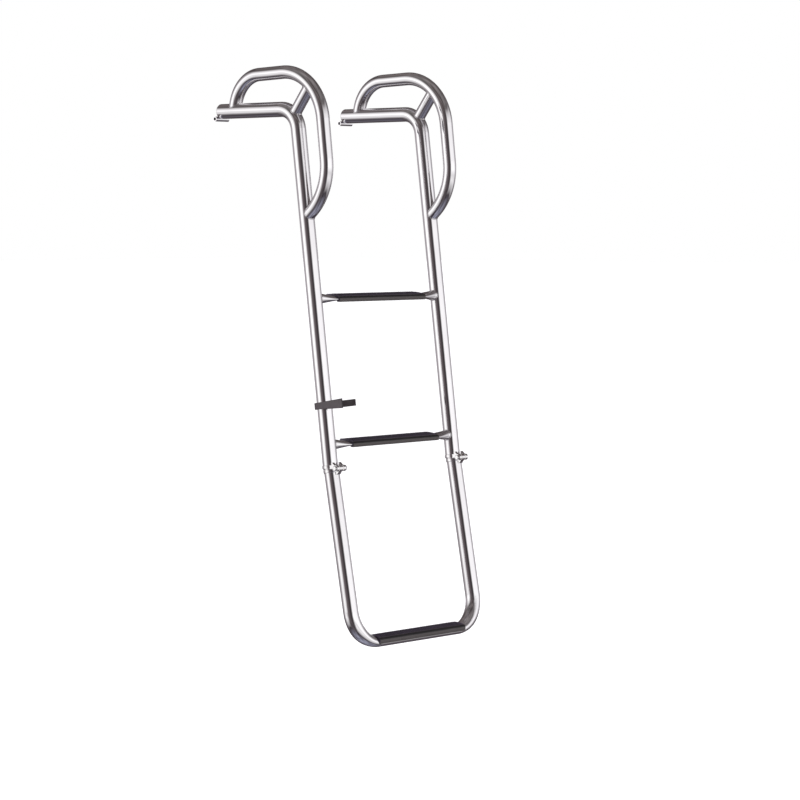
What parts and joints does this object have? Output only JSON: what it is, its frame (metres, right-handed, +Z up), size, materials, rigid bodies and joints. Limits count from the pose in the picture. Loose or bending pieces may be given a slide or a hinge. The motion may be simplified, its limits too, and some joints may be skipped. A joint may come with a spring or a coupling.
{
  "type": "boat boarding ladder",
  "caption": "Bent-tube boarding ladder with hook arms, looped hand grips, black treads and a hinged lower section that folds up and stows in a clip.",
  "frame": {"origin": "middle of the deck pivot axis, halfway between the two pivot bushes", "axes": "+X along the rungs, +Y over the deck along the hook arms, -Y to the climber, +Z up"},
  "size_m": [0.3315, 0.3244, 0.9463],
  "materials": {
    "polished_tube": "mirror-polished stainless steel",
    "hinge_steel": "polished cast stainless steel",
    "fastener_steel": "polished stainless steel",
    "tread_plastic": "matte black moulded plastic with raised grip",
    "clip_plastic": "matte black moulded plastic",
    "washer_nylon": "natural nylon"
  },
  "bodies": {
    "ladder": {"left_rail": "polished_tube", "left_handle": "polished_tube", "left_strut": "polished_tube", "left_pivot_bush": "polished_tube", "left_arm_cap": "polished_tube", "right_rail": "polished_tube", "right_handle": "polished_tube", "right_strut": "polished_tube", "right_pivot_bush": "polished_tube", "right_arm_cap": "polished_tube", "upper_rung": "polished_tube", "middle_rung": "polished_tube", "left_hinge_upper": "hinge_steel", "left_hinge_bolt": "fastener_steel", "left_hinge_nut": "fastener_steel", "left_hinge_washers": "washer_nylon", "right_hinge_upper": "hinge_steel", "right_hinge_bolt": "fastener_steel", "right_hinge_nut": "fastener_steel", "right_hinge_washers": "washer_nylon", "upper_tread": "tread_plastic", "middle_tread": "tread_plastic", "stowage_clip": "clip_plastic"},
    "lower_section": {"lower_frame": "polished_tube", "lower_tread": "tread_plastic", "left_hinge_lower": "hinge_steel", "right_hinge_lower": "hinge_steel"}
  },
  "joints": [
    {"name": "lower_section_fold", "type": "hinge", "parent": "ladder", "child": "lower_section", "pos_m": [0, -0.27169, -0.56902], "axis": [-1, 0, 0], "range_deg": [0, 176.8]}
  ]
}
